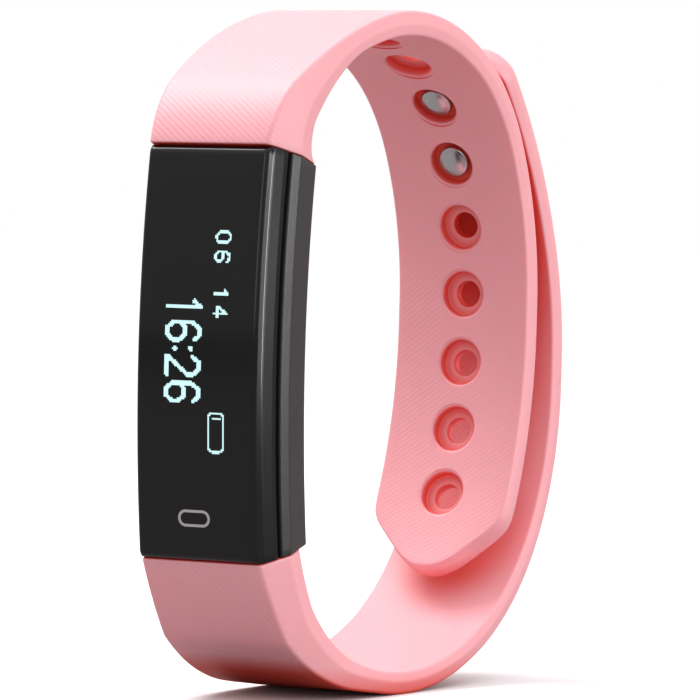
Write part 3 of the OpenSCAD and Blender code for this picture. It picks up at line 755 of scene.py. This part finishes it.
def strap_finish(name, slope):
    """Satin elastomer that lets a little light in, with the diagonal ribs, and painted shade that turns holes
    and seams deep red.
    """
    material = finish(name, STRAP_COLOR, 0.46, shade_by=0.05, spread=0.14, patch=90, grain=9000, bump=0.25,
                      Subsurface_Weight=0.35, Subsurface_Scale=0.0012, Subsurface_Radius=(1.0, 0.28, 0.22),
                      Specular_IOR_Level=0.45)
    tree = material.node_tree
    ribs = tree.nodes.new("ShaderNodeGroup")
    ribs.node_tree = RIBS
    ribs.inputs["Slope"].default_value = slope
    ribs.inputs["Pitch"].default_value = RIB_PITCH
    bump = tree.nodes.new("ShaderNodeBump")
    bump.inputs["Strength"].default_value = 0.42
    bump.inputs["Distance"].default_value = 0.00003
    tree.links.new(ribs.outputs["Height"], bump.inputs["Height"])
    tree.links.new(tree.nodes["grain"].outputs["Normal"], bump.inputs["Normal"])
    tree.links.new(bump.outputs["Normal"], tree.nodes["Principled BSDF"].inputs["Normal"])

    # painted shade: where ambient occlusion finds holes and seams enclosed, the colour is mixed towards a
    # deep red, standing in for light that has been through the elastomer many times
    shade_occlusion = tree.nodes.new("ShaderNodeAmbientOcclusion")
    shade_occlusion.inputs["Distance"].default_value = 0.005
    depth = tree.nodes.new("ShaderNodeMix")
    depth.data_type = "RGBA"
    depth.inputs["A"].default_value = PAINTED_SHADE_COLOR
    shader = tree.nodes["Principled BSDF"]
    tree.links.new(shader.inputs["Base Color"].links[0].from_socket, depth.inputs["B"])
    # painted shade mask: 1 where the surface is open, falling to 0 in enclosed holes and seams
    painted_shade_openness = math_node(tree, "MULTIPLY_ADD", shade_occlusion.outputs["AO"], 2.0, -0.75)
    painted_shade_openness.node.use_clamp = True
    tree.links.new(painted_shade_openness, depth.inputs["Factor"])
    tree.links.new(depth.outputs["Result"], shader.inputs["Base Color"])
    return material


def lit_finish():
    """Lit display cells: pale cyan, a little uneven from cell to cell."""
    material = finish("lit_cells", (0.1, 0.12, 0.12), 0.3, grain=20000, bump=0.0)
    tree = material.node_tree
    shader = tree.nodes["Principled BSDF"]
    ramp = tree.nodes.new("ShaderNodeMix")
    ramp.data_type = "RGBA"
    ramp.inputs["A"].default_value = (0.52, 0.9, 0.93, 1)
    ramp.inputs["B"].default_value = (0.72, 1.0, 1.0, 1)
    tree.links.new(tree.nodes["grain"].outputs["Grain"], ramp.inputs["Factor"])
    tree.links.new(ramp.outputs["Result"], shader.inputs["Emission Color"])
    shader.inputs["Emission Strength"].default_value = 0.95
    return material


def give(piece, material):
    """Makes a material the only one on a piece."""
    piece.data.materials.clear()
    piece.data.materials.append(material)


def carried(node, material):
    """A CAD node keeps its shape and takes a procedural finish."""
    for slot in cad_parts[node].material_slots:
        slot.material = material


# ---- the band ----

hole_band = hole_strap()
give(hole_band, strap_finish("hole_strap_elastomer", RIB_SLOPE))
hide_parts("hole_strap_end", "hole_strap_arch", "hole_strap_tail")

stud_band = stud_strap()
give(stud_band, strap_finish("stud_strap_elastomer", -RIB_SLOPE))
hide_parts("stud_strap_end", "stud_strap_arch", "stud_strap_tail")

studs = clasp_stud_heads()
give(studs, finish("stud_steel", (0.5, 0.49, 0.5), 0.26, 1.0, 0.1, 0.16, 500, 9000, 0.06))
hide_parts("clasp_studs")
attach(studs, "stud_tail")

lens = core_lens()
give(lens, finish("black_lens", (0.004, 0.0041, 0.0044), 0.1, 0.0, 0.2, 0.06, 60, 900, 0.01,
                  Specular_IOR_Level=0.36))
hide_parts("lens")
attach(lens, "core")

bezel = core_bezel()
give(bezel, finish("black_gloss_moulding", (0.006, 0.006, 0.0066), 0.2, 0.0, 0.2, 0.1, 90, 3000, 0.04,
                   Specular_IOR_Level=0.22))
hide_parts("front_bezel")
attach(bezel, "core")

back_shell = core_back()
give(back_shell, finish("black_satin_moulding", (0.009, 0.0088, 0.0095), 0.36, 0.0, 0.25, 0.14,
                        200, 5200, 0.55))
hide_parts("rear_housing")
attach(back_shell, "core")

marks = readout()
give(marks, lit_finish())
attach(marks, "core")

key_mark = touch_key_mark()
give(key_mark, finish("silver_print", (0.5, 0.48, 0.47), 0.38, 0.35, 0.15, 0.1, 800, 12000, 0.1))
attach(key_mark, "core")

hidden = {
    "case_gasket": finish("gasket_silicone", (0.06, 0.06, 0.06), 0.6, grain=7000, bump=0.2),
    "display_panel": finish("panel_glass", (0.012, 0.014, 0.02), 0.15, patch=300, Coat_Weight=0.4),
    "display_foam": finish("foam_pad", (0.1, 0.1, 0.1), 0.85, shade_by=0.5, grain=6000, bump=1.0),
    "display_flex": finish("flex_film", (0.62, 0.24, 0.03), 0.35, shade_by=0.3, patch=900),
    "touch_electrode": finish("gold_plate", (0.83, 0.58, 0.22), 0.28, 1.0, patch=700),
    "main_board": finish("board_lacquer", (0.01, 0.13, 0.05), 0.38, shade_by=0.9, patch=700, grain=3000),
    "radio_chip": finish("chip_epoxy", (0.02, 0.02, 0.02), 0.55, grain=9000, bump=0.4),
    "small_components": finish("ceramic_bodies", (0.36, 0.25, 0.14), 0.5, shade_by=0.4, patch=1500),
    "chip_antenna": finish("white_ceramic", (0.75, 0.73, 0.66), 0.4, patch=900),
    "battery_cell": finish("battery_foil", (0.66, 0.67, 0.69), 0.34, 0.9, 0.15, 0.2, 260, 1500, 0.5),
    "battery_tape": finish("tape_film", (0.8, 0.79, 0.74), 0.5, patch=400),
    "battery_tabs": finish("nickel_strip", (0.62, 0.6, 0.57), 0.3, 1.0, patch=900),
    "motor_can": finish("drawn_steel", (0.6, 0.6, 0.61), 0.27, 1.0, 0.15, 0.15, 500, 4000, 0.15),
    "motor_weight": finish("sintered_weight", (0.3, 0.29, 0.28), 0.45, 1.0, 0.3, 0.2, 900, 9000, 0.5),
    "charge_contacts": finish("worn_gold", (0.85, 0.6, 0.24), 0.24, 1.0, 0.18, 0.22, 900, 6000, 0.15),
    "clasp_plate": finish("plate_steel", (0.62, 0.62, 0.63), 0.3, 1.0, 0.12, 0.18, 500, 4000, 0.12),
}
hidden["accelerometer"] = hidden["radio_chip"]
hidden["motor_shaft"] = hidden["motor_can"]
for node, material in hidden.items():
    carried(node, material)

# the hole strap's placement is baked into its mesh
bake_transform(hole_band)
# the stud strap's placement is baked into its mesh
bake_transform(stud_band)


# ---- floor, light and camera ----

def floor_finish():
    """Pale matt floor with faint patches. It throws less light back up than the eye sees, as if
    the band stood clear of it."""
    material = bpy.data.materials.new("pale_floor")
    material.use_nodes = True
    tree = material.node_tree
    tree.nodes.remove(tree.nodes["Principled BSDF"])
    noise = tree.nodes.new("ShaderNodeTexNoise")
    noise.inputs["Scale"].default_value = 3.0
    tone = tree.nodes.new("ShaderNodeMix")
    tone.data_type = "RGBA"
    tone.inputs["A"].default_value = (0.95, 0.945, 0.945, 1)
    tone.inputs["B"].default_value = (0.97, 0.965, 0.965, 1)
    tree.links.new(noise.outputs["Fac"], tone.inputs["Factor"])
    seen, thrown = tree.nodes.new("ShaderNodeBsdfDiffuse"), tree.nodes.new("ShaderNodeBsdfDiffuse")
    tree.links.new(tone.outputs["Result"], seen.inputs["Color"])
    thrown.inputs["Color"].default_value = (0.3, 0.28, 0.28, 1)
    path, either = tree.nodes.new("ShaderNodeLightPath"), tree.nodes.new("ShaderNodeMixShader")
    tree.links.new(path.outputs["Is Camera Ray"], either.inputs[0])
    tree.links.new(thrown.outputs[0], either.inputs[1])
    tree.links.new(seen.outputs[0], either.inputs[2])
    tree.links.new(either.outputs[0], tree.nodes["Material Output"].inputs["Surface"])
    return material


floor_mesh = bpy.data.meshes.new("floor")
reach = 40.0
floor_mesh.from_pydata([(-reach, -reach, 0), (reach, -reach, 0), (reach, reach, 0), (-reach, reach, 0)], [],
                       [(0, 1, 2, 3)])
floor = bpy.data.objects.new("floor", floor_mesh)
bpy.context.collection.objects.link(floor)
floor_mesh.materials.append(floor_finish())


def soft_light(name, place, aim, size, power):
    """A rectangular studio light at place, facing aim. Lengths are metres and power is watts."""
    data = bpy.data.lights.new(name, "AREA")
    data.shape, data.size, data.size_y = "RECTANGLE", size[0], size[1]
    data.energy = power
    light = bpy.data.objects.new(name, data)
    bpy.context.collection.objects.link(light)
    light.location = place
    light.rotation_euler = (Vector(aim) - Vector(place)).to_track_quat("-Z", "Y").to_euler()
    return light


middle = (0, 0, 0.035)
soft_light("key_above_left", (-0.36, -0.02, 0.62), middle, (0.36, 0.36), 3.2)
soft_light("strip_right", (0.76, 0.28, 0.10), middle, (0.10, 0.5), 3.5)
soft_light("low_front", (0.45, -0.75, 0.25), middle, (0.5, 0.4), 0.7)

# the sky is bright overhead and dim towards the horizon: low + high * height^2, and plain white
# where the camera sees it
SKY_LOW, SKY_HIGH = 0.56, 1.15
world = bpy.data.worlds.new("studio")
bpy.context.scene.world = world
world.use_nodes = True
tree = world.node_tree
sky = tree.nodes["Background"]
sky.inputs["Color"].default_value = (0.99, 0.98, 1.0, 1)
way = tree.nodes.new("ShaderNodeTexCoord")
axes = tree.nodes.new("ShaderNodeSeparateXYZ")
tree.links.new(way.outputs["Generated"], axes.inputs[0])
height = math_node(tree, "MAXIMUM", axes.outputs["Z"], 0.0)
glow = math_node(tree, "MULTIPLY_ADD", math_node(tree, "MULTIPLY", height, height), SKY_HIGH, SKY_LOW)
tree.links.new(glow, sky.inputs["Strength"])
seen = tree.nodes.new("ShaderNodeBackground")
seen.inputs["Color"].default_value = (1, 1, 1, 1)
path = tree.nodes.new("ShaderNodeLightPath")
either = tree.nodes.new("ShaderNodeMixShader")
tree.links.new(path.outputs["Is Camera Ray"], either.inputs[0])
tree.links.new(sky.outputs[0], either.inputs[1])
tree.links.new(seen.outputs[0], either.inputs[2])
tree.links.new(either.outputs[0], tree.nodes["World Output"].inputs["Surface"])
bpy.context.scene.view_settings.view_transform = "Standard"

# the camera stands well back on a long lens, a little above the middle, turned 30 degrees left
azimuth, elevation, roll = math.radians(29.672), math.radians(1.285), math.radians(1.537)
distance, shift_x, shift_z, focal = 479.017, 14.821, 0.32, 257.143
back = np.array([math.sin(azimuth) * math.cos(elevation), -math.cos(azimuth) * math.cos(elevation),
                 math.sin(elevation)])
right = np.cross(-back, [0, 0, 1])
right /= np.linalg.norm(right)
up = np.cross(right, -back)
right, up = (right * math.cos(roll) + up * math.sin(roll), up * math.cos(roll) - right * math.sin(roll))
camera_data = bpy.data.cameras.new("camera")
camera_data.lens, camera_data.sensor_width = focal, 36
camera_data.clip_start, camera_data.clip_end = 0.01, 100
camera = bpy.data.objects.new("camera", camera_data)
bpy.context.collection.objects.link(camera)
place = placed(back * distance + right * shift_x + up * shift_z)
camera.matrix_world = Matrix([[right[i], up[i], back[i], place[i]] for i in range(3)] + [[0, 0, 0, 1]])
bpy.context.scene.camera = camera
